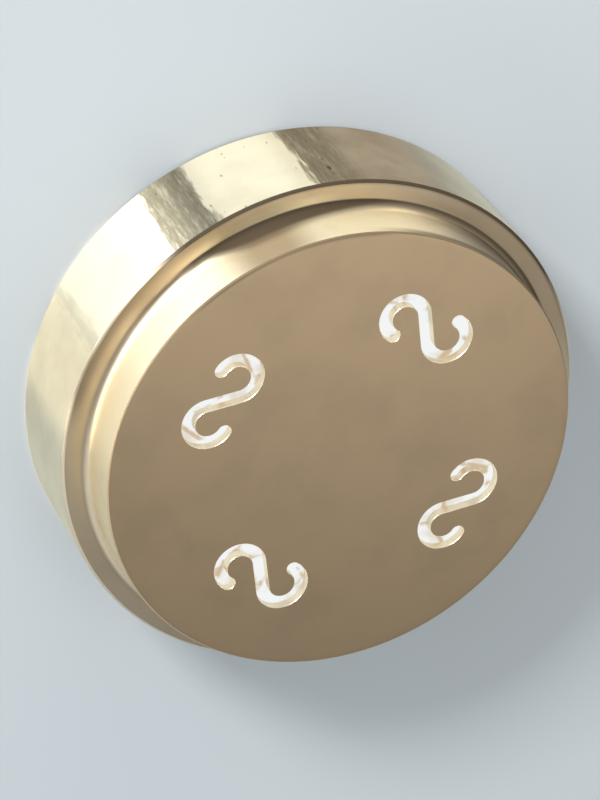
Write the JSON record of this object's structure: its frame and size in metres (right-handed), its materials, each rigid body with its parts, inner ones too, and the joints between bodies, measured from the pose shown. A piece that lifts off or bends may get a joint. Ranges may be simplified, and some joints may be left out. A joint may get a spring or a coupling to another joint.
{
  "type": "pasta extrusion die",
  "caption": "Stepped brass disc with S-shaped slots in its raised face and a recess in its back: dough pressed through it comes out as pasta with an S section.",
  "frame": {"origin": "centre of the back face, which the die rests on", "axes": "+Z along the axis of the disc, from the back face to the slotted face; +X through the middle of one slot"},
  "size_m": [0.057, 0.057, 0.019],
  "materials": {
    "turned_brass": "turned, lightly polished wall and satin face"
  },
  "bodies": {
    "root": {"die_body": "turned_brass"}
  },
  "joints": []
}
